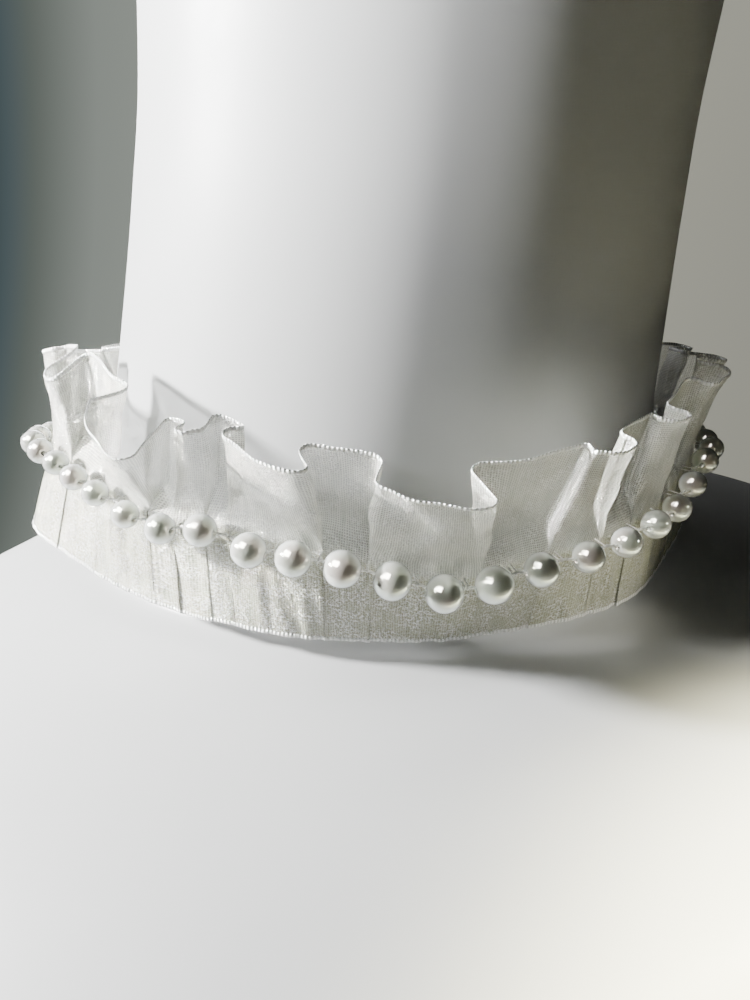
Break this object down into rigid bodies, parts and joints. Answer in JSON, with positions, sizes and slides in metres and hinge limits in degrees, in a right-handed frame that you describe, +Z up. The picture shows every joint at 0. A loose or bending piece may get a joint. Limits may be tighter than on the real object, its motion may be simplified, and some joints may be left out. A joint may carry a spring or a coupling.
{
  "type": "ruffled organza choker collar on a display bust",
  "caption": "Detachable choker collar of box-pleated sheer ribbon with a row of pearls sewn along it, buttoned at the nape of a smooth display bust.",
  "frame": {"origin": "centre of the display bust's flat base, the bottom centre of the bounding box", "axes": "+Z up, -Y the front of the neck, +X the wearer's left"},
  "size_m": [0.262, 0.1802, 0.2214],
  "materials": {
    "organza": "sheer, softly shining",
    "pearl": "pearl lustre",
    "thread": "matte",
    "bust_shell": "satin white"
  },
  "bodies": {
    "root": {"ribbon_ruffle": "organza", "ribbon_hem": "organza", "pearl_strand": "pearl", "closure_button": "pearl", "closure_loop": "thread", "display_bust": "bust_shell"}
  },
  "joints": []
}
